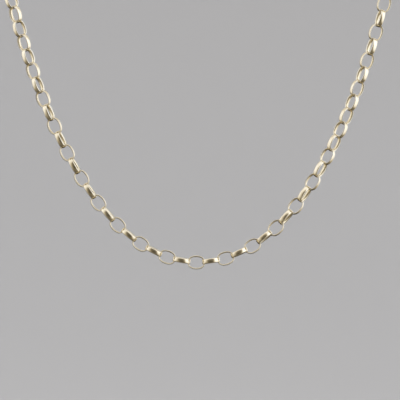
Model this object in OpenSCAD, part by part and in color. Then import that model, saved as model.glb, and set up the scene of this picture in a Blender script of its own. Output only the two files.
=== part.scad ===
// Oval rolo chain necklace, hanging in its worn form.
// Front faces -Y, right is +X, up is +Z. The origin is the middle of the neck opening, level with the nape.

/* [Link] */
// Outer length of a link
link_l = 3.64; // [3.5:0.02:4.2]
// Outer width of a link
link_w = 2.85; // [2.7:0.05:3.2]
// Width of the link's flattened wire, seen when the link is edge on
band_w = 1; // [0.8:0.05:1.1]
// Thickness of the link's flattened wire
band_t = 0.27; // [0.24:0.01:0.32]
// Height of the dome on the wire's outer face
outer_crown = 0.05; // [0.03:0.01:0.07]
// Height of the dome on the wire's inner face
inner_crown = 0.13; // [0.1:0.01:0.14]

/* [Chain] */
// Clear gap between two neighbouring links
link_gap = 0.12; // [0.12:0.01:0.2]
// How far right of the middle the lowest link lies
low_link_shift = -0.4; // [-1.4:0.1:1.4]

/* [Drape] */
// Radius of the bend at the lowest point of the front
low_bend_r = 18.5; // [16:0.5:21]
// Height of the front stretch that hangs freely
front_h = 84; // [70:1:100]
// Depth of the loop, from its front to the nape
neck_d = 105; // [90:1:120]
// Height of the nape above the top of the front stretch
nape_rise = 46; // [35:1:60]
// How far the line keeps rising before it turns back over a shoulder
shoulder_run = 54; // [40:1:70]
// How far the line stays level and straight on either side of the nape
nape_run = 60; // [50:1:75]

/* [Clasp] */
// Outer diameter of the clasp's ring
clasp_d = 6; // [5:0.1:8]
// Thickness of the clasp's round tube
clasp_wire = 1.2; // [1:0.05:1.4]
// Outer diameter of the eye on the clasp
eye_d = 2.8; // [2.6:0.1:3.4]
// Thickness of the eye's wire
eye_wire = 0.55; // [0.45:0.05:0.6]
// Diameter of the thumb knob on the clasp
knob_d = 0.8; // [0.6:0.1:1]
// Height of the thumb knob above the clasp's tube
knob_h = 0.7; // [0.4:0.1:1]

/* [Jump rings] */
// Outer diameter of a jump ring
jump_d = 3.6; // [3.4:0.1:4.4]
// Thickness of a jump ring's round wire
jump_wire = 0.6; // [0.45:0.05:0.65]
// Clear gap between a jump ring and each piece that it holds
jump_gap = 0.18; // [0.15:0.01:0.3]

/* [Hidden] */
$fn = 48;
gold = [0.87, 0.78, 0.53];

// A link is an oval with two round ends, which the straight sides join.
end_centre = (link_l - link_w) / 2;
end_r = link_w / 2;

// Share of the band's width that the flat top of a crown takes
crown_flat = 1 / 3;

// Two crossed wires come closest at their corners, where the inner face of a link's end
// has risen along the chain and leans over.
hollow_r = end_r - band_t;
corner_lean = asin(band_w / 2 / hollow_r);
corner_rise = hollow_r * (1 - cos(corner_lean));
longest_pitch = link_l - 2 * band_t - link_gap / cos(corner_lean) - max(0, corner_rise - inner_crown);

// The front stretch is the curve of a chain that hangs freely. Its arc length from the
// lowest point is known for a height, and its place for an arc length.
front_arc = sqrt(pow(front_h + low_bend_r, 2) - pow(low_bend_r, 2));
low_z = -nape_rise - front_h;
function asinh_of(v) = ln(v + sqrt(v * v + 1));
function hanging_point(arc) = [
    low_bend_r * asinh_of(arc / low_bend_r),
    -neck_d / 2,
    low_z + sqrt(low_bend_r * low_bend_r + arc * arc) - low_bend_r
];
function hanging_direction(arc) = [low_bend_r, 0, arc] / norm([low_bend_r, arc]);

// From the top of the front stretch one smooth curve goes over the right shoulder and
// round to the nape.
nape = [0, neck_d / 2, 0];
side_poles = [
    hanging_point(front_arc),
    hanging_point(front_arc) + shoulder_run * hanging_direction(front_arc),
    nape + [nape_run, 0, 0],
    nape
];
function side_point(t) =
    pow(1 - t, 3) * side_poles[0]
    + 3 * t * pow(1 - t, 2) * side_poles[1]
    + 3 * t * t * (1 - t) * side_poles[2]
    + pow(t, 3) * side_poles[3];
function side_slope(t) =
    pow(1 - t, 2) * (side_poles[1] - side_poles[0])
    + 2 * t * (1 - t) * (side_poles[2] - side_poles[1])
    + t * t * (side_poles[3] - side_poles[2]);
function unit(v) = v / norm(v);
function across(v, direction) = unit(v - (v * direction) * direction);

// Along that curve: the arc length at even steps of t, and a facing that is carried
// along without twisting, starting towards the front.
side_steps = 120;
side_arcs = [
    for (i = 0, arc = 0; i <= side_steps;
         arc = arc + norm(side_point((i + 1) / side_steps) - side_point(i / side_steps)), i = i + 1)
        [arc, i / side_steps]
];
side_facings = [
    for (i = 0, facing = [0, -1, 0]; i <= side_steps;
         i = i + 1, facing = across(facing, unit(side_slope(min(1, i / side_steps)))))
        facing
];
side_length = side_arcs[side_steps][0];
half_length = front_arc + side_length;

// Place, direction and facing at a signed arc length from the lowest point. The left
// half mirrors the right half, and past the nape the line goes on round.
function on_right(arc) =
    arc <= front_arc
    ? [hanging_point(arc), hanging_direction(arc), [0, -1, 0]]
    : let (
        t = min(1, lookup(arc - front_arc, side_arcs)),
        direction = unit(side_slope(t))
    ) [side_point(t), direction, across(side_facings[floor(t * side_steps)], direction)];
function flipped(place) = [
    [-place[0][0], place[0][1], place[0][2]],
    [place[1][0], -place[1][1], -place[1][2]],
    [-place[2][0], place[2][1], place[2][2]]
];
function place_at(arc) =
    arc > half_length ? place_at(arc - 2 * half_length)
    : arc < -half_length ? place_at(arc + 2 * half_length)
    : arc < 0 ? flipped(on_right(-arc))
    : on_right(arc);

// How far the chain is twisted about its own line: a share of the front stretch's arc,
// then the turn in degrees that brings a link's inner side forwards.
twist_table = [
    [-2.5, 0],
    [-1.2, 45],
    [-0.62, 45],
    [-0.46, 22],
    [-0.34, 9],
    [0, 0],
    [0.12, -7],
    [0.24, -20],
    [0.34, -36],
    [0.46, -53],
    [0.63, -74],
    [1.2, -90]
];
function twist_at(arc) = lookup(arc / front_arc, twist_table);

// The clasp closes the loop behind the neck. Arc lengths between the middles of its pieces:
jump_reach = jump_d / 2 - jump_wire;
link_to_jump = link_l / 2 - band_t + jump_reach - jump_gap;
jump_to_eye = jump_reach + eye_d / 2 - eye_wire - jump_gap;
eye_sink = eye_wire / 2;
eye_to_clasp = eye_d / 2 + clasp_d / 2 - eye_sink;
clasp_to_jump = clasp_d / 2 - clasp_wire + jump_reach - jump_gap;
closure_arc = 2 * link_to_jump + jump_to_eye + eye_to_clasp + clasp_to_jump;

// An odd number of steps lets the first and the last link both take a jump ring.
chain_arc = 2 * half_length - closure_arc;
step_count = 2 * ceil((chain_arc / longest_pitch - 1) / 2) + 1;
pitch = chain_arc / step_count;
links_left = 2 * floor(step_count / 4) + 1;
links_right = step_count - links_left;
function link_arc(index) = low_link_shift + index * pitch;

end_jump_arc = link_arc(links_right) + link_to_jump;
clasp_arc = end_jump_arc + clasp_to_jump + eye_to_clasp / 2;
clasp_jump_arc = clasp_arc + eye_to_clasp / 2 + jump_to_eye;

// In a bend a link swings about the middle of its neighbour's round end, within the
// neighbour's plane. So the links shift a little off the line by turns, and the gaps stay even.
swing_arm = pitch / 2 - end_centre;

// Sets a piece on the line, its length along the line, turned about it by a twist
module on_line(arc, twist, arm = 0) {
    place = place_at(arc);
    inward = cross(place[2], place[1]);
    up = cos(twist) * place[2] - sin(twist) * inward;
    side = cross(up, place[1]);
    bend = place_at(arc + pitch / 2)[1] - place_at(arc - pitch / 2)[1];
    middle = place[0] + arm / 2 * ((bend * up) * up - (bend * side) * side);
    multmatrix([
        for (i = [0 : 2]) [place[1][i], side[i], up[i], middle[i]]
    ])
        children();
}

// Section of the flattened wire, with a crown on both faces
module band_section() {
    edge = band_w / 2;
    flat = crown_flat * edge;
    translate([end_r, 0])
        polygon([
            [-outer_crown, -edge],
            [0, -flat],
            [0, flat],
            [-outer_crown, edge],
            [inner_crown - band_t, edge],
            [-band_t, flat],
            [-band_t, -flat],
            [inner_crown - band_t, -edge]
        ]);
}

// One round end and one straight side make half of a link
module link() {
    for (turn = [0, 180])
        rotate([0, 0, turn])
            translate([end_centre, 0, 0]) {
                rotate_extrude(angle = 180, start = -90)
                    band_section();
                rotate([90, 0, -90])
                    linear_extrude(2 * end_centre)
                        band_section();
            }
}

module round_ring(outer_d, wire) {
    rotate_extrude()
        translate([outer_d / 2 - wire / 2, 0])
            circle(wire / 2);
}

// The links from the first index to the last, each turned a quarter turn to the one before
module links(first, last) {
    for (index = [first : last])
        on_line(link_arc(index), twist_at(link_arc(index)) + 90 * (index % 2), swing_arm)
            link();
}

module chain_left() {
    color(gold)
        links(-links_left, -1);
}

module chain_right() {
    color(gold)
        links(0, links_right);
}

module clasp() {
    color(gold)
        on_line(clasp_arc, 90) {
            translate([eye_to_clasp / 2, 0, 0])
                round_ring(eye_d, eye_wire);
            translate([-eye_to_clasp / 2, 0, 0]) {
                round_ring(clasp_d, clasp_wire);
                translate([0, clasp_d / 2 - clasp_wire / 2, 0])
                    rotate([-90, 0, 0])
                        cylinder(h = clasp_wire / 2 + knob_h, d = knob_d);
            }
        }
}

module clasp_jump_ring() {
    color(gold)
        on_line(clasp_jump_arc, 0)
            round_ring(jump_d, jump_wire);
}

module end_jump_ring() {
    color(gold)
        on_line(end_jump_arc, 0)
            round_ring(jump_d, jump_wire);
}

chain_left();
chain_right();
clasp();
clasp_jump_ring();
end_jump_ring();
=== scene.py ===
"""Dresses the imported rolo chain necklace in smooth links, jump rings and a clasp of pale gold.

Everything is in metres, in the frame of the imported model: +X right, -Y front, +Z up.
"""

import logging
import math
from dataclasses import dataclass
from enum import Enum
from functools import cached_property
from itertools import accumulate

import bmesh
import bpy
import numpy as np
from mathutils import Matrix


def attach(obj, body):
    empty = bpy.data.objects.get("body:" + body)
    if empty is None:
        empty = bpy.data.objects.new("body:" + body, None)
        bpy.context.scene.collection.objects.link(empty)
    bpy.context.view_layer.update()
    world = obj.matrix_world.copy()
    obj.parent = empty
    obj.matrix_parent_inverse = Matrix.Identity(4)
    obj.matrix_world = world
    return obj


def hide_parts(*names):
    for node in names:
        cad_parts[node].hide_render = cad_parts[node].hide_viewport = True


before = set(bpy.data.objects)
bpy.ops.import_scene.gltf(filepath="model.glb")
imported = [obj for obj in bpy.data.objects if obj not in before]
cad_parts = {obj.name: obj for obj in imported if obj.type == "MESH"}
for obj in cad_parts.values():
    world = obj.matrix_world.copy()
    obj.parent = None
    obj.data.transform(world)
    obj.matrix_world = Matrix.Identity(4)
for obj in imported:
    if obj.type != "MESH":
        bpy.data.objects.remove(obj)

LOG = logging.getLogger("necklace")
MM = 0.001
MERGE_DISTANCE = 0.0001 * MM

Array = np.ndarray
Colour = tuple[float, float, float]
Settings = dict[str, object]
Inputs = dict[int | str, object]

FRONT: Array = np.array([0.0, -1.0, 0.0])


class Half(Enum):
    """The two halves of the chain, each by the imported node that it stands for."""

    LEFT = "chain_left"
    RIGHT = "chain_right"


class Holder(Enum):
    """The two jump rings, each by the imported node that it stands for."""

    OF_CLASP = "clasp_jump_ring"
    OF_CHAIN_END = "end_jump_ring"


# Shader expressions


class Signal:
    """A socket of a shader. Python's operators on it add Math nodes."""

    def __init__(self, pad: "ShaderPad", socket: bpy.types.NodeSocket) -> None:
        """Keeps the socket and the pad that its nodes go to.

        Args:
            pad: The node tree's wrapper.
            socket: An output socket of that tree.
        """
        self.pad = pad
        self.socket = socket

    def _math(self, operation: str, first: "Signal | float", second: "Signal | float") -> "Signal":
        """Adds one Math node.

        Args:
            operation: The Math node's operation.
            first: Its first value or link.
            second: Its second value or link.

        Returns:
            The node's result.
        """
        return self.pad.node("ShaderNodeMath", {"operation": operation}, {0: first, 1: second})

    def __add__(self, other: "Signal | float") -> "Signal":
        """This plus other."""
        return self._math("ADD", self, other)

    def __radd__(self, other: float) -> "Signal":
        """Other plus this."""
        return self._math("ADD", other, self)

    def __sub__(self, other: "Signal | float") -> "Signal":
        """This less other."""
        return self._math("SUBTRACT", self, other)

    def __rsub__(self, other: float) -> "Signal":
        """Other less this."""
        return self._math("SUBTRACT", other, self)

    def __mul__(self, other: "Signal | float") -> "Signal":
        """This times other."""
        return self._math("MULTIPLY", self, other)

    def __rmul__(self, other: float) -> "Signal":
        """Other times this."""
        return self._math("MULTIPLY", other, self)

    def __pow__(self, power: float) -> "Signal":
        """This raised to a power."""
        return self._math("POWER", self, power)

    def limited(self, low: float, high: float) -> "Signal":
        """This, kept between low and high."""
        return self._math("MINIMUM", self._math("MAXIMUM", self, low), high)


class ShaderPad:
    """Writes the nodes of one material or world."""

    def __init__(self, owner: bpy.types.Material | bpy.types.World) -> None:
        """Switches the owner to nodes and clears them.

        Args:
            owner: The material or world to write.
        """
        owner.use_nodes = True
        self.tree = owner.node_tree
        self.tree.nodes.clear()

    def _add(self, kind: str, settings: Settings, values: Inputs) -> bpy.types.Node:
        """Adds a node of any type.

        Args:
            kind: The node's type.
            settings: Its own settings, which are set first.
            values: Values or links for its sockets, by their name or number.

        Returns:
            The node.
        """
        made = self.tree.nodes.new(kind)
        for name, value in settings.items():
            setattr(made, name, value)
        for name, value in values.items():
            if isinstance(value, Signal):
                self.tree.links.new(value.socket, made.inputs[name])
            else:
                made.inputs[name].default_value = value
        return made

    def node(self, kind: str, settings: Settings, values: Inputs, output: int | str = 0) -> Signal:
        """Adds a node of any type and gives one of its outputs.

        Args:
            kind: The node's type.
            settings: Its own settings, which are set first.
            values: Values or links for its sockets, by their name or number.
            output: Name or number of the output.

        Returns:
            That output.
        """
        return Signal(self, self._add(kind, settings, values).outputs[output])

    def surface(self, shader: Signal) -> None:
        """Makes a shader the material's surface."""
        self._add("ShaderNodeOutputMaterial", {}, {"Surface": shader})

    def sky(self, shader: Signal) -> None:
        """Makes a shader the world's light."""
        self._add("ShaderNodeOutputWorld", {}, {"Surface": shader})

    def blend(self, share: Signal | float, first: Signal | Colour, second: Signal | Colour) -> Signal:
        """Mixes two colours. The Mix node has its colours at sockets 6 and 7, and its result at 2.

        Args:
            share: Share of the second colour.
            first: Colour at share 0.
            second: Colour at share 1.

        Returns:
            The mixed colour.
        """
        low, high = (c if isinstance(c, Signal) else (*c, 1.0) for c in (first, second))
        return self.node("ShaderNodeMix", {"data_type": "RGBA"}, {0: share, 6: low, 7: high}, 2)

    def stretched(self, vector: Signal, scale: tuple[float, float, float]) -> Signal:
        """A vector with its three parts multiplied by the scales."""
        return self.node("ShaderNodeMapping", {}, {"Vector": vector, "Scale": scale})

    def noise(self, vector: Signal, scale: float, detail: float) -> Signal:
        """Smooth noise.

        Args:
            vector: Where it is read.
            scale: How many lumps there are to a unit.
            detail: How many finer layers it has.

        Returns:
            A value around 0.5.
        """
        return self.node("ShaderNodeTexNoise", {}, {"Vector": vector, "Scale": scale, "Detail": detail})

    def along(self, vector: Signal, direction: tuple[float, float, float]) -> Signal:
        """How far a vector goes along a unit direction: their dot product."""
        both = {0: vector, 1: direction}
        return self.node("ShaderNodeVectorMath", {"operation": "DOT_PRODUCT"}, both, "Value")

    def mark(self, name: str) -> Signal:
        """The number that a mesh carries at each point under a name."""
        return self.node("ShaderNodeAttribute", {"attribute_name": name}, {}, "Fac")

    def object_place(self) -> Signal:
        """The place in the object's own coordinates, in metres."""
        return self.node("ShaderNodeTexCoord", {}, {}, "Object")


# Finishes


@dataclass(frozen=True)
class PolishedGold:
    """Pale nine carat gold, drawn to wire and polished, duller where no cloth reaches, with painted shade
    inside the links and rims painted paler, partly as wear and partly as a painted highlight.
    """

    name: str
    bright: Colour = (0.91, 0.825, 0.625)
    deep: Colour = (0.64, 0.51, 0.28)
    worn_and_highlit: Colour = (0.96, 0.92, 0.8)
    painted_shade_inside: float = 0.2
    painted_shade_shielded: float = 0.3
    deep_smears: float = 0.3
    deep_tones: float = 0.2
    polished_off: float = 0.15
    rim_wear_and_highlight: float = 0.85
    rim_sharpness: float = 1.5
    roughness: float = 0.07
    rough_smears: float = 0.06
    rough_lines: float = 0.03
    rough_shielded: float = 0.1
    rough_rims: float = 0.35
    smears_per_mm: float = 1.1
    smear_detail: float = 2.0
    lines_per_mm: float = 22.0
    line_breaks_per_mm: float = 1.3
    line_detail: float = 3.0
    line_height: float = 0.0007 * MM
    swells_per_mm: float = 0.9
    swell_detail: float = 0.0
    swell_height: float = 0.014 * MM

    def material(self) -> bpy.types.Material:
        """Builds the material.

        The inner faces are duller, most of all inside a link's two ends, where the next link shields them
        from the polishing cloth, and they are darkened there with painted shade. The rims are painted paler,
        partly as wear and partly as a painted highlight, and are satin. Fine lines run along the drawn wire,
        faint smears vary the gloss, and low swells left by the polishing bend the reflections a little.

        Returns:
            The material.
        """
        made = bpy.data.materials.new(self.name)
        pad = ShaderPad(made)
        place, wire = pad.object_place(), pad.node("ShaderNodeUVMap", {"uv_map": "wire"}, {})
        along = pad.stretched(wire, (self.line_breaks_per_mm, self.lines_per_mm, 1.0))
        lines = pad.noise(along, scale=1.0, detail=self.line_detail)
        smear = pad.noise(place, scale=self.smears_per_mm / MM, detail=self.smear_detail)
        swells = pad.noise(place, scale=self.swells_per_mm / MM, detail=self.swell_detail)
        inner, shielded = pad.mark("inner"), pad.mark("shielded")
        rim = pad.mark("rim") ** self.rim_sharpness
        # Painted shade: the inner faces, most of all inside a link's two ends, are blended towards the deep
        # colour; smears and tones add the metal's own variation.
        depth = inner * (self.painted_shade_inside + self.painted_shade_shielded * shielded)
        depth = depth + self.deep_smears * smear + self.deep_tones * pad.mark("tone") - self.polished_off
        colour = pad.blend(depth.limited(0.0, 1.0), self.bright, self.deep)
        # Painted highlight, partly wear: the rims are blended towards a pale colour.
        colour = pad.blend(self.rim_wear_and_highlight * rim, colour, self.worn_and_highlit)
        gloss = self.roughness + self.rough_smears * smear + self.rough_lines * lines
        gloss = gloss + self.rough_shielded * inner * shielded + self.rough_rims * rim
        height = self.line_height * lines + self.swell_height * swells
        bump = pad.node("ShaderNodeBump", {}, {"Strength": 1.0, "Distance": 1.0, "Height": height})
        shader = pad.node(
            "ShaderNodeBsdfPrincipled",
            {},
            {"Base Color": colour, "Metallic": 1.0, "Roughness": gloss, "Normal": bump},
        )
        pad.surface(shader)
        return made


@dataclass(frozen=True)
class PalePaper:
    """The matt pale paper of the studio's floor and walls."""

    name: str = "pale_paper"
    light: Colour = (0.48, 0.475, 0.47)
    dark: Colour = (0.455, 0.45, 0.445)
    clouds_per_m: float = 1.5
    cloud_detail: float = 1.0
    roughness: float = 0.9

    def material(self) -> bpy.types.Material:
        """Builds the material, whose shade drifts a little in wide soft clouds.

        Returns:
            The material.
        """
        made = bpy.data.materials.new(self.name)
        pad = ShaderPad(made)
        cloud = pad.noise(pad.object_place(), scale=self.clouds_per_m, detail=self.cloud_detail)
        shader = pad.node(
            "ShaderNodeBsdfPrincipled",
            {},
            {"Base Color": pad.blend(cloud, self.light, self.dark), "Roughness": self.roughness},
        )
        pad.surface(shader)
        return made


# Meshes


def unit(vectors: Array) -> Array:
    """Vectors at length one, along the last axis."""
    return vectors / np.linalg.norm(vectors, axis=-1, keepdims=True)


def dot(first: Array, second: Array) -> Array:
    """Dot products along the last axis, which is kept."""
    return np.sum(first * second, axis=-1, keepdims=True)


def across(vector: Array, direction: Array) -> Array:
    """A vector turned square to a unit direction: the vector less its part along it, at length one."""
    return unit(vector - dot(vector, direction) * direction)


@dataclass
class Shell:
    """A surface on a grid of points, with what it carries at each point.

    Its rows run along a wire and join up at the end, unless the surface is open along its
    rows. Its columns go round the wire and always join up. The wire map holds the length
    along the wire and the way round it, with a spare row or column where they join up.
    """

    points: Array
    wire: Array
    marks: dict[str, Array]
    open_rows: bool = False

    @property
    def quads(self) -> Array:
        """Numbers the points at the corners (i, j), (i+1, j), (i+1, j+1) and (i, j+1) of each quad.

        Returns:
            Four point numbers for each quad.
        """
        rows, columns = self.points.shape[:2]
        i = np.arange(rows - self.open_rows)[:, None]
        j = np.arange(columns)[None, :]
        next_i, next_j = (i + 1) % rows, (j + 1) % columns
        corners = [i * columns + j, next_i * columns + j, next_i * columns + next_j, i * columns + next_j]
        return np.stack(np.broadcast_arrays(*corners), -1).reshape(-1, 4)

    @property
    def corner_wire(self) -> Array:
        """The wire map at the four corners of each quad, in the same order."""
        low, high = self.wire[:-1], self.wire[1:]
        return np.stack([low[:, :-1], high[:, :-1], high[:, 1:], low[:, 1:]], -2).reshape(-1, 2)


def joined_mesh(name: str, shells: list[Shell]) -> bpy.types.Mesh:
    """Puts shells into one smooth mesh.

    Args:
        name: The mesh's name.
        shells: The surfaces, which all carry the same marks.

    Returns:
        The mesh, with its poles merged and its faces turned outwards.
    """
    starts = np.cumsum([0] + [shell.points[..., 0].size for shell in shells])
    quads = np.concatenate([shell.quads + start for shell, start in zip(shells, starts)])
    mesh = bpy.data.meshes.new(name)
    mesh.vertices.add(starts[-1])
    mesh.vertices.foreach_set("co", np.concatenate([s.points.ravel() for s in shells]).astype(np.float32))
    mesh.loops.add(quads.size)
    mesh.loops.foreach_set("vertex_index", quads.ravel().astype(np.int32))
    mesh.polygons.add(len(quads))
    mesh.polygons.foreach_set("loop_start", np.arange(0, quads.size, 4, dtype=np.int32))
    mesh.update(calc_edges=True)
    wire = mesh.uv_layers.new(name="wire")
    wire.data.foreach_set("uv", np.concatenate([s.corner_wire.ravel() for s in shells]).astype(np.float32))
    for mark in shells[0].marks:
        layer = mesh.attributes.new(mark, "FLOAT", "POINT")
        values = np.concatenate([s.marks[mark].ravel() for s in shells])
        layer.data.foreach_set("value", values.astype(np.float32))
    solid = bmesh.new()
    solid.from_mesh(mesh)
    bmesh.ops.remove_doubles(solid, verts=solid.verts, dist=MERGE_DISTANCE)
    bmesh.ops.recalc_face_normals(solid, faces=solid.faces)
    solid.to_mesh(mesh)
    solid.free()
    mesh.polygons.foreach_set("use_smooth", np.ones(len(mesh.polygons), bool))
    mesh.update()
    return mesh


def dressed(name: str, node: str, shells: list[Shell], finish: PolishedGold) -> bpy.types.Object:
    """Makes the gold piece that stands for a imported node.

    Args:
        name: The piece's name.
        node: The node that it replaces.
        shells: Its surfaces.
        finish: Its finish.

    Returns:
        The piece.
    """
    piece = bpy.data.objects.new(name, joined_mesh(name, shells))
    bpy.context.scene.collection.objects.link(piece)
    piece.data.materials.append(finish.material())
    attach(piece, "root")
    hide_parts(node)
    LOG.info("%s stands for %s, with %d faces", name, node, len(piece.data.polygons))
    return piece


# Where the pieces lie


@dataclass
class Places:
    """Points of the line with a frame at each: along the line, to the side and up."""

    middle: Array
    along: Array
    side: Array
    up: Array

    def put(self, local: Array) -> Array:
        """Carries local points to every place.

        Args:
            local: Points of shape (..., 3), along, sideways and up.

        Returns:
            Points of shape (places, ..., 3): the middle plus each part times its direction.
        """
        turn = np.stack([self.along, self.side, self.up], 1)
        moved = np.tensordot(turn, local, axes=([1], [-1]))
        moved = np.moveaxis(moved, 1, -1)
        return moved + self.middle.reshape(-1, *([1] * (local.ndim - 1)), 3)


@dataclass
class Route:
    """The line that the chain hangs along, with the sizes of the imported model."""

    low_bend_radius: float = 18.5 * MM
    front_height: float = 84 * MM
    neck_depth: float = 105 * MM
    nape_rise: float = 46 * MM
    shoulder_run: float = 54 * MM
    nape_run: float = 60 * MM
    steps: int = 120
    twist_shares: tuple[float, ...] = (-2.5, -1.2, -0.62, -0.46, -0.34, 0, 0.12, 0.24, 0.34, 0.46, 0.63, 1.2)
    twist_degrees: tuple[float, ...] = (0, 45, 45, 22, 9, 0, -7, -20, -36, -53, -74, -90)

    @cached_property
    def front_arc(self) -> float:
        """Arc length of half the front: the root of (height + radius) squared less radius squared."""
        return math.sqrt((self.front_height + self.low_bend_radius) ** 2 - self.low_bend_radius**2)

    def hanging(self, arc: Array) -> tuple[Array, Array]:
        """Points and directions of the right half of the front, a chain's own curve.

        Its x is the radius times asinh(arc / radius), and it has climbed by the root of
        radius squared plus arc squared, less the radius.

        Args:
            arc: Arc lengths from the lowest point.

        Returns:
            The points and the unit directions.
        """
        radius, low = self.low_bend_radius, -self.nape_rise - self.front_height
        flat = np.zeros_like(arc)
        rise = low + np.hypot(radius, arc) - radius
        points = np.stack([radius * np.arcsinh(arc / radius), flat - self.neck_depth / 2, rise], -1)
        return points, unit(np.stack([flat + radius, flat, arc], -1))

    @cached_property
    def side_poles(self) -> Array:
        """Sets the smooth curve over the right shoulder to the nape.

        Returns:
            Its four poles: both ends, and a run from each along the line's direction there.
        """
        points, directions = self.hanging(np.array([self.front_arc]))
        nape = np.array([0, self.neck_depth / 2, 0])
        climb = self.shoulder_run * directions[0]
        return np.array([points[0], points[0] + climb, nape + [self.nape_run, 0, 0], nape])

    def side(self, t: Array) -> tuple[Array, Array]:
        """Points and directions of that curve: its poles weighted by the terms of ((1 - t) + t) cubed.

        Args:
            t: The curve's parameter, from 0 to 1.

        Returns:
            The points and the unit directions.
        """
        t = t[:, None]
        a, b, c, d = self.side_poles
        points = (1 - t) ** 3 * a + 3 * t * (1 - t) ** 2 * b + 3 * t**2 * (1 - t) * c + t**3 * d
        slopes = (1 - t) ** 2 * (b - a) + 2 * t * (1 - t) * (c - b) + t**2 * (d - c)
        return points, unit(slopes)

    @cached_property
    def side_arcs(self) -> Array:
        """Measures that curve by the sum of its chords.

        Returns:
            Arc lengths at even steps of its parameter.
        """
        points, _ = self.side(np.linspace(0, 1, self.steps + 1))
        chords = np.linalg.norm(np.diff(points, axis=0), axis=1)
        return np.concatenate([[0], np.cumsum(chords)])

    @cached_property
    def side_facings(self) -> Array:
        """A facing carried along that curve step by step, square to it, from the front on."""
        _, directions = self.side(np.linspace(0, 1, self.steps + 1))
        return np.array(list(accumulate(directions[1:], across, initial=FRONT)))

    @cached_property
    def half_length(self) -> float:
        """Arc length from the lowest point to the nape."""
        return self.front_arc + float(self.side_arcs[-1])

    def line(self, arc: Array) -> tuple[Array, Array, Array]:
        """Points, directions and facings at signed arc lengths from the lowest point.

        The left half mirrors the right half, and past the nape the line goes on round.

        Args:
            arc: The arc lengths.

        Returns:
            The points, the unit directions and the unit facings.
        """
        wrapped = (arc + self.half_length) % (2 * self.half_length) - self.half_length
        mirror = np.where(wrapped < 0, -1.0, 1.0)[:, None]
        run = np.abs(wrapped)
        t = np.interp(run - self.front_arc, self.side_arcs, np.linspace(0, 1, self.steps + 1))
        front, front_way = self.hanging(run)
        back, back_way = self.side(t)
        back_facing = across(self.side_facings[np.floor(t * self.steps).astype(int)], back_way)
        on_front = (run <= self.front_arc)[:, None]
        points = np.where(on_front, front, back)
        ways = np.where(on_front, front_way, back_way)
        facings = np.where(on_front, FRONT, back_facing)
        points[:, :1] *= mirror
        ways[:, 1:] *= mirror
        facings[:, :1] *= mirror
        return points, ways, facings

    def twist(self, arc: Array) -> Array:
        """How far the chain is twisted about its line, in degrees, read between a few known places."""
        return np.interp(arc / self.front_arc, self.twist_shares, self.twist_degrees)

    def places(self, arc: Array, turn: Array, pitch: float, arm: float = 0.0) -> Places:
        """Frames on the line, turned about it, for pieces that swing in a bend.

        A piece shifts off the line by half the arm times the bend between its two
        neighbours: along its facing as the bend goes, and against the bend sideways.

        Args:
            arc: Arc lengths of the pieces.
            turn: Turns about the line, in degrees.
            pitch: Distance between neighbours.
            arm: From midway between two neighbours to the point about which one swings in the other.

        Returns:
            The frames.
        """
        points, along, facing = self.line(arc)
        angle = np.radians(turn)[:, None]
        up = np.cos(angle) * facing - np.sin(angle) * np.cross(facing, along)
        side = np.cross(up, along)
        bend = self.line(arc + pitch / 2)[1] - self.line(arc - pitch / 2)[1]
        shift = arm / 2 * (dot(bend, up) * up - dot(bend, side) * side)
        return Places(points + shift, along, side, up)


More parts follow.
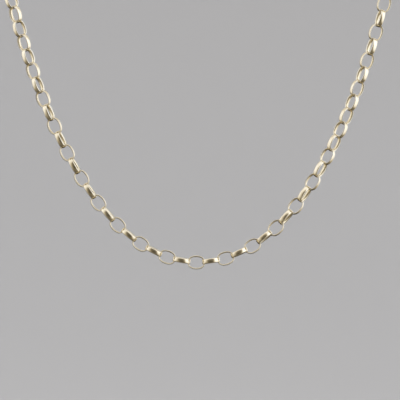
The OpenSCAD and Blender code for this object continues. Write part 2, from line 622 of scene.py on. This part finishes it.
@dataclass
class Wires:
    """The sizes of the wire and rings, as packed, and the even spacing that closes the loop."""

    route: Route
    link_length: float = 3.64 * MM
    link_width: float = 2.85 * MM
    band_width: float = 1.0 * MM
    band_thickness: float = 0.27 * MM
    outer_crown: float = 0.05 * MM
    inner_crown: float = 0.13 * MM
    crown_flat: float = 1 / 3
    link_gap: float = 0.12 * MM
    low_link_shift: float = -0.4 * MM
    jump_diameter: float = 3.6 * MM
    jump_wire: float = 0.6 * MM
    jump_gap: float = 0.18 * MM
    clasp_diameter: float = 6 * MM
    clasp_wire: float = 1.2 * MM
    eye_diameter: float = 2.8 * MM
    eye_wire: float = 0.55 * MM
    knob_diameter: float = 0.8 * MM
    knob_height: float = 0.7 * MM

    @property
    def end_centre(self) -> float:
        """From a link's middle to the centre of its round end."""
        return (self.link_length - self.link_width) / 2

    @property
    def longest_pitch(self) -> float:
        """Pitch at which crossed wires come no closer than the gap.

        They come closest at a wire's corner, where the inner face of a link's end leans
        over by the corner's angle and has risen by the hollow's radius less its cosine.

        Returns:
            The pitch.
        """
        hollow = self.link_width / 2 - self.band_thickness
        lean = math.asin(self.band_width / 2 / hollow)
        rise = hollow * (1 - math.cos(lean))
        reach = self.link_length - 2 * self.band_thickness
        return reach - self.link_gap / math.cos(lean) - max(0.0, rise - self.inner_crown)

    @property
    def jump_reach(self) -> float:
        """From a jump ring's middle to its inner side."""
        return self.jump_diameter / 2 - self.jump_wire

    @property
    def link_to_jump(self) -> float:
        """From the last link's middle to its jump ring's."""
        return self.link_length / 2 - self.band_thickness + self.jump_reach - self.jump_gap

    @property
    def jump_to_eye(self) -> float:
        """From a jump ring's middle to the middle of the clasp's eye."""
        return self.jump_reach + self.eye_diameter / 2 - self.eye_wire - self.jump_gap

    @property
    def eye_to_clasp(self) -> float:
        """From the eye's middle to the middle of the clasp's ring."""
        return self.eye_diameter / 2 + self.clasp_diameter / 2 - self.eye_wire / 2

    @property
    def clasp_to_jump(self) -> float:
        """From the middle of the clasp's ring to that of the jump ring in it."""
        return self.clasp_diameter / 2 - self.clasp_wire + self.jump_reach - self.jump_gap

    @cached_property
    def chain_arc(self) -> float:
        """Length of line that the links fill: the loop less the rings and the clasp."""
        closure = 2 * self.link_to_jump + self.jump_to_eye + self.eye_to_clasp + self.clasp_to_jump
        return 2 * self.route.half_length - closure

    @cached_property
    def step_count(self) -> int:
        """The least odd number of steps whose pitch isn't over the longest."""
        return 2 * math.ceil((self.chain_arc / self.longest_pitch - 1) / 2) + 1

    @cached_property
    def pitch(self) -> float:
        """Distance between neighbouring links."""
        return self.chain_arc / self.step_count

    @property
    def links_left(self) -> int:
        """Number of links left of the lowest one: the odd number next to half of the steps."""
        return 2 * (self.step_count // 4) + 1

    def link_arc(self, index: Array | int) -> Array | float:
        """Arc length at a link, counted from the lowest one."""
        return self.low_link_shift + index * self.pitch

    @property
    def end_jump_arc(self) -> float:
        """Arc length at the jump ring on the right end of the chain."""
        return self.link_arc(self.step_count - self.links_left) + self.link_to_jump

    @property
    def clasp_arc(self) -> float:
        """Arc length midway between the clasp's ring and its eye."""
        return self.end_jump_arc + self.clasp_to_jump + self.eye_to_clasp / 2

    @property
    def clasp_jump_arc(self) -> float:
        """Arc length at the jump ring that holds the clasp's eye."""
        return self.clasp_arc + self.eye_to_clasp / 2 + self.jump_to_eye

    def ring_place(self, arc: float, turn: float) -> Places:
        """The frame of one ring on the line, turned about it by an angle in degrees."""
        return self.route.places(np.array([arc]), np.array([turn]), self.pitch)


# The pieces


@dataclass
class ChainHalf:
    """All the links of one half of the chain, as one piece.

    Its inner and rim marks are those of the six corners of the wire's section.
    """

    half: Half
    wires: Wires
    around: int = 20
    squareness: float = 2.0
    side_swell: float = 0.25
    outer_flat: float = 0.66
    inner_marks: tuple[float, ...] = (0, 0, 0.5, 1, 1, 0.5)
    rim_marks: tuple[float, ...] = (0, 0, 1, 0, 0, 1)
    shield_sharpness: float = 4.0
    tone_seed: int = 19
    map_shift: tuple[float, float] = (11.0, 5.0)
    finish: PolishedGold = PolishedGold("gold_of_links")

    @property
    def section(self) -> Array:
        """The flattened wire's section: depth below the outer face, then place across it.

        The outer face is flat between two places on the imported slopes, and the inner one
        over its crown's flat share. Both slope to rims midway between the crowns' feet,
        which smooth shading rounds, as polishing has.

        Returns:
            The six corners, of shape (6, 2).
        """
        w = self.wires
        edge = w.band_width / 2
        outer, inner = self.outer_flat * edge, w.crown_flat * edge
        shoulder = w.outer_crown * (outer - inner) / (edge - inner)
        rim = (w.outer_crown + w.band_thickness - w.inner_crown) / 2
        depth = [shoulder, shoulder, rim, w.band_thickness, w.band_thickness, rim]
        place = [-outer, outer, edge, inner, -inner, -edge]
        return np.array([depth, place]).T

    def link_grid(self, angle: Array) -> tuple[Array, Array]:
        """One link as a grid of points, and the length along its wire.

        The outer face follows x = centre * tanh(s cos a) / tanh(s) + radius * cos a and
        y = radius * sin a, an oval between a circle and two round ends with straight
        sides. The section lies square to it, so a point is the path less its depth times
        the path's normal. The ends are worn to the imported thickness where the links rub,
        and the sides are thicker than that by the swell times sine squared of a.

        Args:
            angle: The angles a of the rows.

        Returns:
            Points of shape (rows, 6, 3) and the wire's length at each row.
        """
        w, s = self.wires, self.squareness
        radius, cosine, sine = w.link_width / 2, np.cos(angle), np.sin(angle)
        x = w.end_centre * np.tanh(s * cosine) / math.tanh(s) + radius * cosine
        slope = w.end_centre * s / np.cosh(s * cosine) ** 2 / math.tanh(s) + radius
        path = np.stack([x, radius * sine], -1)
        normal = unit(np.stack([radius * cosine, slope * sine], -1))
        depth, place = self.section.T
        depth = np.outer(1 + self.side_swell * sine**2, depth)
        flat = path[:, None, :] - depth[:, :, None] * normal[:, None, :]
        points = np.concatenate([flat, np.broadcast_to(place[None, :, None], flat.shape[:2] + (1,))], -1)
        steps = np.linalg.norm(np.diff(path, axis=0, prepend=path[:1]), axis=1)
        return points, np.cumsum(steps)

    def shells(self) -> list[Shell]:
        """Builds every link of this half, each turned a quarter turn to the one before.

        The mark inner goes from 0 on the outer face to 1 on the inner one, and rim is 1 at
        the rims. Shielded is a power of |cos a|, which is 1 at a link's two ends. Each
        link has a tone of its own, and its wire map is shifted, so that no two carry the
        same lines.

        Returns:
            One surface for each link.
        """
        w = self.wires
        left = self.half is Half.LEFT
        first, last = (-w.links_left, -1) if left else (0, w.step_count - w.links_left)
        index = np.arange(first, last + 1)
        arc = w.link_arc(index)
        turn = w.route.twist(arc) + 90 * (index % 2)
        places = w.route.places(arc, turn, w.pitch, w.pitch / 2 - w.end_centre)
        angle = np.linspace(0, 2 * math.pi, self.around + 1)
        grid, length = self.link_grid(angle)
        points = places.put(grid[:-1])
        across_wire = np.concatenate([self.section, self.section[:1]])
        girth = np.cumsum(np.linalg.norm(np.diff(across_wire, axis=0, prepend=across_wire[:1]), axis=1))
        wire = np.stack(np.meshgrid(length, girth, indexing="ij"), -1) / MM
        shape = grid[:-1, :, 0].shape
        # inner and shielded mark where the finish paints shade, and rim where it paints a highlight, partly
        # as wear.
        inner = np.broadcast_to(self.inner_marks, shape)
        rim = np.broadcast_to(self.rim_marks, shape)
        shielded = np.broadcast_to(np.abs(np.cos(angle[:-1, None])) ** self.shield_sharpness, shape)
        tones = np.random.default_rng(self.tone_seed).random(w.step_count + 1)[index + w.links_left]
        return [
            Shell(
                points[n],
                wire + index[n] * np.array(self.map_shift),
                {"inner": inner, "rim": rim, "shielded": shielded, "tone": np.full(shape, tones[n])},
            )
            for n in range(len(index))
        ]

    def build(self) -> bpy.types.Object:
        """Builds the piece, which stands for this half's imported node."""
        return dressed(f"links_{self.half.name.lower()}", self.half.value, self.shells(), self.finish)


@dataclass(kw_only=True)
class RoundWork:
    """Work in round wire and turned metal, with the marks that it carries."""

    wire_sides: int = 14
    turned_sides: int = 18
    inner_depth: float = 0.7
    even_mark: float = 0.4

    def wire_ring(self, place: Places, centre: Array, diameter: float, wire: float, waist: Array) -> Shell:
        """A ring of round wire around a frame's up direction.

        A point is (R + r cos b) (cos a, sin a) and r sin b high, where R is the radius of the wire's middle
        line and r the wire's radius times the waist at a. The mark inner, which the finish turns into
        painted shade, is half of 1 - cos b, times its depth on the innermost line.

        Args:
            place: The frame that the ring lies in.
            centre: The ring's middle in that frame.
            diameter: The ring's outer diameter.
            wire: The wire's diameter.
            waist: The wire's thickness at even steps of a, as a share.

        Returns:
            The surface.
        """
        a = np.linspace(0, 2 * math.pi, len(waist) + 1)[:, None]
        b = np.linspace(0, 2 * math.pi, self.wire_sides + 1)[None, :]
        thick = wire / 2 * np.append(waist, waist[0])[:, None]
        reach = (diameter - wire) / 2 + thick * np.cos(b)
        grid = np.stack([reach * np.cos(a), reach * np.sin(a), thick * np.sin(b)], -1)[:-1, :-1]
        length, girth = np.broadcast_arrays(a * diameter / 2, b * wire / 2)
        inner = self.inner_depth * (0.5 - 0.5 * np.cos(b[:, :-1])) * np.ones_like(a[:-1])
        even = np.full(inner.shape, self.even_mark)
        # The even shielded mark deepens the painted shade on the inner line a little.
        marks = {"inner": inner, "rim": 0 * even, "shielded": even, "tone": even}
        return Shell(place.put(grid + centre)[0], np.stack([length, girth], -1) / MM, marks)

    def turned(self, place: Places, centre: Array, axes: Array, profile: Array) -> Shell:
        """A turned shape: a profile of (height, radius) swept round an axis, closed at both ends.

        A point is its height along the first axis, and its radius times cos b and sin b
        along the second and third.

        Args:
            place: The frame that the shape lies in.
            centre: The foot of its axis in that frame.
            axes: The three axes as rows.
            profile: Heights and radii, from one end of the axis to the other.

        Returns:
            The surface.
        """
        height, radius = profile.T[:, :, None]
        b = np.linspace(0, 2 * math.pi, self.turned_sides + 1)[None, :]
        local = np.stack([height + 0 * b, radius * np.cos(b), radius * np.sin(b)], -1)[:, :-1]
        grid = local @ axes + centre
        steps = np.linalg.norm(np.diff(profile, axis=0, prepend=profile[:1]), axis=1)
        wire = np.stack(np.meshgrid(np.cumsum(steps) / MM, b[0], indexing="ij"), -1)
        none = np.zeros(grid.shape[:2])
        marks = {"inner": none, "rim": none, "shielded": none, "tone": none + self.even_mark}
        return Shell(place.put(grid)[0], wire, marks, open_rows=True)


@dataclass
class JumpRing(RoundWork):
    """A ring of round wire, soldered shut, that joins the chain to the clasp."""

    holder: Holder
    wires: Wires
    steps: int = 40
    seam_angle: float = math.pi / 2
    seam_depth: float = 0.06
    seam_width: float = 0.14
    finish: PolishedGold = PolishedGold("gold_of_jump_rings", roughness=0.09)

    def build(self) -> bpy.types.Object:
        """Builds the ring, whose wire dips a little at the soldered seam: 1 less a narrow bell.

        Returns:
            The piece.
        """
        w = self.wires
        arc = w.clasp_jump_arc if self.holder is Holder.OF_CLASP else w.end_jump_arc
        a = np.linspace(0, 2 * math.pi, self.steps, endpoint=False)
        waist = 1 - self.seam_depth * np.exp(-(((a - self.seam_angle) / self.seam_width) ** 2))
        shell = self.wire_ring(w.ring_place(arc, 0.0), np.zeros(3), w.jump_diameter, w.jump_wire, waist)
        return dressed(f"{self.holder.value}_of_wire", self.holder.value, [shell], self.finish)


@dataclass
class Clasp(RoundWork):
    """The round clasp: a tube bent to a ring, with a soldered eye and a thumb knob."""

    wires: Wires
    steps: int = 72
    eye_steps: int = 32
    collar_angles: tuple[float, float] = (0.62, 1.28)
    collar_depth: float = 0.08
    collar_width: float = 0.05
    solder_foot: float = 0.46 * MM
    solder_tip: float = 0.2 * MM
    solder_sink: float = 0.4 * MM
    solder_reach: float = 0.26 * MM
    solder_rings: int = 6
    knob_sink: float = 0.1 * MM
    neck_share: float = 0.7
    button_height: float = 0.5 * MM
    button_squareness: float = 4.0
    button_rings: int = 11
    turn: float = 90.0
    finish: PolishedGold = PolishedGold("gold_of_clasp", roughness=0.08)

    def ring(self, place: Places) -> Shell:
        """Builds the tube ring, with a fine groove at each of two collars: 1 less two narrow bells.

        Args:
            place: The clasp's frame.

        Returns:
            The surface.
        """
        w = self.wires
        a = np.linspace(0, 2 * math.pi, self.steps, endpoint=False)[:, None]
        bells = np.exp(-(((a - np.array([self.collar_angles])) / self.collar_width) ** 2))
        waist = 1 - self.collar_depth * bells.sum(axis=1)
        centre = np.array([-w.eye_to_clasp / 2, 0, 0])
        return self.wire_ring(place, centre, w.clasp_diameter, w.clasp_wire, waist)

    def eye(self, place: Places) -> Shell:
        """Builds the eye, a plain ring of wire.

        Args:
            place: The clasp's frame.

        Returns:
            The surface.
        """
        w = self.wires
        centre = np.array([w.eye_to_clasp / 2, 0, 0])
        return self.wire_ring(place, centre, w.eye_diameter, w.eye_wire, np.ones(self.eye_steps))

    def solder(self, place: Places) -> Shell:
        """Builds the fillet of solder between the tube and the eye.

        Its radius falls from the foot's to the tip's with the square of the way up.

        Args:
            place: The clasp's frame.

        Returns:
            The surface.
        """
        w = self.wires
        way = np.linspace(0, 1, self.solder_rings)
        height = (self.solder_sink + self.solder_reach) * way - self.solder_sink
        radius = self.solder_foot + (self.solder_tip - self.solder_foot) * way**2
        profile = np.stack([np.pad(height, 1, "edge"), np.pad(radius, 1)], -1)
        centre = np.array([w.clasp_diameter / 2 - w.eye_to_clasp / 2, 0, 0])
        return self.turned(place, centre, np.eye(3), profile)

    def knob(self, place: Places) -> Shell:
        """Builds the thumb knob: a short neck on the tube under a button with rounded rims.

        The button's radius is (1 - |cos c| to the squareness) to one over the squareness,
        as c goes from its foot to its top, and nowhere below its middle less than the neck's.

        Args:
            place: The clasp's frame.

        Returns:
            The surface.
        """
        w = self.wires
        widest, top = w.knob_diameter / 2, w.clasp_wire / 2 + w.knob_height
        neck = self.neck_share * widest
        c = np.linspace(0, math.pi, self.button_rings)
        height = top - self.button_height * (0.5 + 0.5 * np.cos(c))
        fullness = np.maximum(1 - np.abs(np.cos(c)) ** self.button_squareness, 0)
        button = widest * fullness ** (1 / self.button_squareness)
        button = np.where(c < math.pi / 2, np.maximum(button, neck), button)
        foot = [[self.knob_sink, 0], [self.knob_sink, neck]]
        profile = np.concatenate([foot, np.stack([height, button], -1)])
        centre = np.array([-w.eye_to_clasp / 2, (w.clasp_diameter - w.clasp_wire) / 2, 0])
        return self.turned(place, centre, np.roll(np.eye(3), 1, axis=1), profile)

    def build(self) -> bpy.types.Object:
        """Builds the clasp as one piece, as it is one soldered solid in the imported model.

        Returns:
            The piece.
        """
        place = self.wires.ring_place(self.wires.clasp_arc, self.turn)
        shells = [self.ring(place), self.eye(place), self.solder(place), self.knob(place)]
        return dressed("clasp_of_tube", "clasp", shells, self.finish)


# The studio


@dataclass(frozen=True)
class Softbox:
    """A wide light high over the paper. The gold mirrors the room's panels in its place."""

    height: float = 2.0
    width: float = 2.4
    radiance: float = 1.5

    def build(self) -> bpy.types.Object:
        """Hangs the light, facing down. Its power is pi times its area times its radiance.

        Returns:
            The light.
        """
        lamp = bpy.data.lights.new("softbox", "AREA")
        lamp.shape = "SQUARE"
        lamp.size = self.width
        lamp.energy = math.pi * self.width**2 * self.radiance
        light = bpy.data.objects.new("softbox", lamp)
        bpy.context.scene.collection.objects.link(light)
        light.location = (0.0, 0.0, self.height)
        light.visible_camera = False
        light.visible_glossy = False
        LOG.info("softbox %g m wide", self.width)
        return light


@dataclass(frozen=True)
class Panel:
    """A soft patch of the room that the gold mirrors: a lit panel, or a dark flag."""

    azimuth: float
    elevation: float
    reach: float
    strength: float
    core: float = 1 / 3

    def share(self, pad: ShaderPad, way: Signal) -> Signal:
        """How much of the patch a direction meets.

        The cosine of the angle to the patch's middle is stretched from 0 at its reach to
        1 at its core's share of that, and eased by 3t squared less 2t cubed.

        Args:
            pad: The world's nodes.
            way: The direction.

        Returns:
            A value from 0 to 1.
        """
        a, e = math.radians(self.azimuth), math.radians(self.elevation)
        middle = (math.sin(a) * math.cos(e), -math.cos(a) * math.cos(e), math.sin(e))
        cosine = pad.along(way, middle)
        low, high = math.cos(math.radians(self.reach)), math.cos(math.radians(self.reach * self.core))
        t = ((cosine - low) * (1 / (high - low))).limited(0.0, 1.0)
        return t * t * (3.0 - 2.0 * t)


@dataclass
class Studio:
    """A pale paper floor that curves up into walls all round, with soft light inside."""

    floor_height: float = -0.24
    radius: float = 1.7
    sweep: float = 0.9
    wall_height: float = 2.4
    sides: int = 96
    sweep_steps: int = 25
    paper: PalePaper = PalePaper()
    softbox: Softbox = Softbox()
    below: float = 0.15
    level: float = 0.6
    above: float = 0.9
    panels: tuple[Panel, ...] = (
        Panel(azimuth=75, elevation=0, reach=60, strength=0.8),
        Panel(azimuth=143, elevation=0, reach=36, strength=0.45),
        Panel(azimuth=-92, elevation=7, reach=54, strength=0.5),
        Panel(azimuth=10, elevation=55, reach=62, strength=0.3),
    )
    flags: tuple[Panel, ...] = (
        Panel(azimuth=-3, elevation=2, reach=40, strength=0.7),
        Panel(azimuth=0, elevation=28, reach=30, strength=0.4),
        Panel(azimuth=0, elevation=-30, reach=36, strength=0.4),
        Panel(azimuth=-171, elevation=-30, reach=42, strength=0.9),
    )
    dim: float = 0.3
    dim_tint: Colour = (1.0, 0.9, 0.73)
    lit: float = 1.3
    lit_tint: Colour = (0.97, 1.0, 1.1)

    def paper_sweep(self) -> bpy.types.Object:
        """Builds the floor and walls as one turned surface.

        The profile runs flat to the radius less the sweep, along a quarter circle of the
        sweep's radius, and straight up. A point is its radius times cos a and sin a.

        Returns:
            The paper.
        """
        bend = np.linspace(0, math.pi / 2, self.sweep_steps)
        flat = self.radius - self.sweep
        reach = np.concatenate([[0, flat / 2], flat + self.sweep * np.sin(bend), [self.radius]])
        climb = np.concatenate([[0, 0], self.sweep * (1 - np.cos(bend)), [self.wall_height]])
        a = np.linspace(0, 2 * math.pi, self.sides, endpoint=False)
        x, y = np.outer(reach, np.cos(a)), np.outer(reach, np.sin(a))
        height = np.broadcast_to(self.floor_height + climb[:, None], x.shape)
        wire = np.zeros((len(reach), self.sides + 1, 2))
        shell = Shell(np.stack([x, y, height], -1), wire, {}, open_rows=True)
        paper = bpy.data.objects.new("paper_sweep", joined_mesh("paper_sweep", [shell]))
        bpy.context.scene.collection.objects.link(paper)
        paper.data.materials.append(self.paper.material())
        paper.visible_glossy = False
        return paper

    def room(self) -> bpy.types.World:
        """Builds the room that the gold mirrors.

        Its light rises from below over level to above as the direction's z does. The
        panels add their strength to that, and the flags then take their share away. The
        dim parts are warm and the lit ones cool.

        Returns:
            The world.
        """
        world = bpy.data.worlds.new("studio_room")
        pad = ShaderPad(world)
        way = pad.node("ShaderNodeTexCoord", {}, {}, "Generated")
        height = pad.along(way, (0, 0, 1))
        light = self.level + (self.above - self.level) * height.limited(0.0, 1.0)
        light = light + (self.level - self.below) * height.limited(-1.0, 0.0)
        for panel in self.panels:
            light = light + panel.strength * panel.share(pad, way)
        for flag in self.flags:
            light = light * (1.0 - flag.strength * flag.share(pad, way))
        share = ((light - self.dim) * (1 / (self.lit - self.dim))).limited(0.0, 1.0)
        tint = pad.blend(share, self.dim_tint, self.lit_tint)
        pad.sky(pad.node("ShaderNodeBackground", {}, {"Color": tint, "Strength": light}))
        bpy.context.scene.world = world
        return world

    def build(self) -> None:
        """Builds the paper, the room and the light that shines on the paper."""
        self.paper_sweep()
        self.room()
        self.softbox.build()


@dataclass
class Viewpoint:
    """The camera, level and straight in front, where the photograph was taken from.

    Its sensor is in millimetres, as Blender has it.
    """

    middle: tuple[float, float, float] = (0.34 * MM, -52.5 * MM, -117.6 * MM)
    field_width: float = 80 * MM
    distance: float = 0.4
    sensor: float = 36.0
    nearest: float = 0.01
    farthest: float = 20.0

    def build(self) -> bpy.types.Object:
        """Builds the camera. Its lens is the sensor times the distance over the field's width.

        Returns:
            The camera.
        """
        lens = bpy.data.cameras.new("viewpoint")
        lens.sensor_width = self.sensor
        lens.lens = self.sensor * self.distance / self.field_width
        lens.clip_start, lens.clip_end = self.nearest, self.farthest
        camera = bpy.data.objects.new("viewpoint", lens)
        bpy.context.scene.collection.objects.link(camera)
        x, y, z = self.middle
        camera.location = (x, y - self.distance, z)
        camera.rotation_euler = (math.pi / 2, 0.0, 0.0)
        bpy.context.scene.camera = camera
        bpy.context.scene.view_settings.view_transform = "Standard"
        return camera


def main() -> None:
    """Builds the camera, the necklace piece by piece and the studio."""
    logging.basicConfig(level=logging.INFO, format="%(name)s: %(message)s")
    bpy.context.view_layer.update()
    Viewpoint().build()
    wires = Wires(Route())
    LOG.info("%d links at a pitch of %.4f mm", wires.step_count + 1, wires.pitch / MM)
    for half in Half:
        ChainHalf(half, wires).build()
    for holder in Holder:
        JumpRing(holder, wires).build()
    Clasp(wires).build()
    Studio().build()


if __name__ == "__main__":
    main()
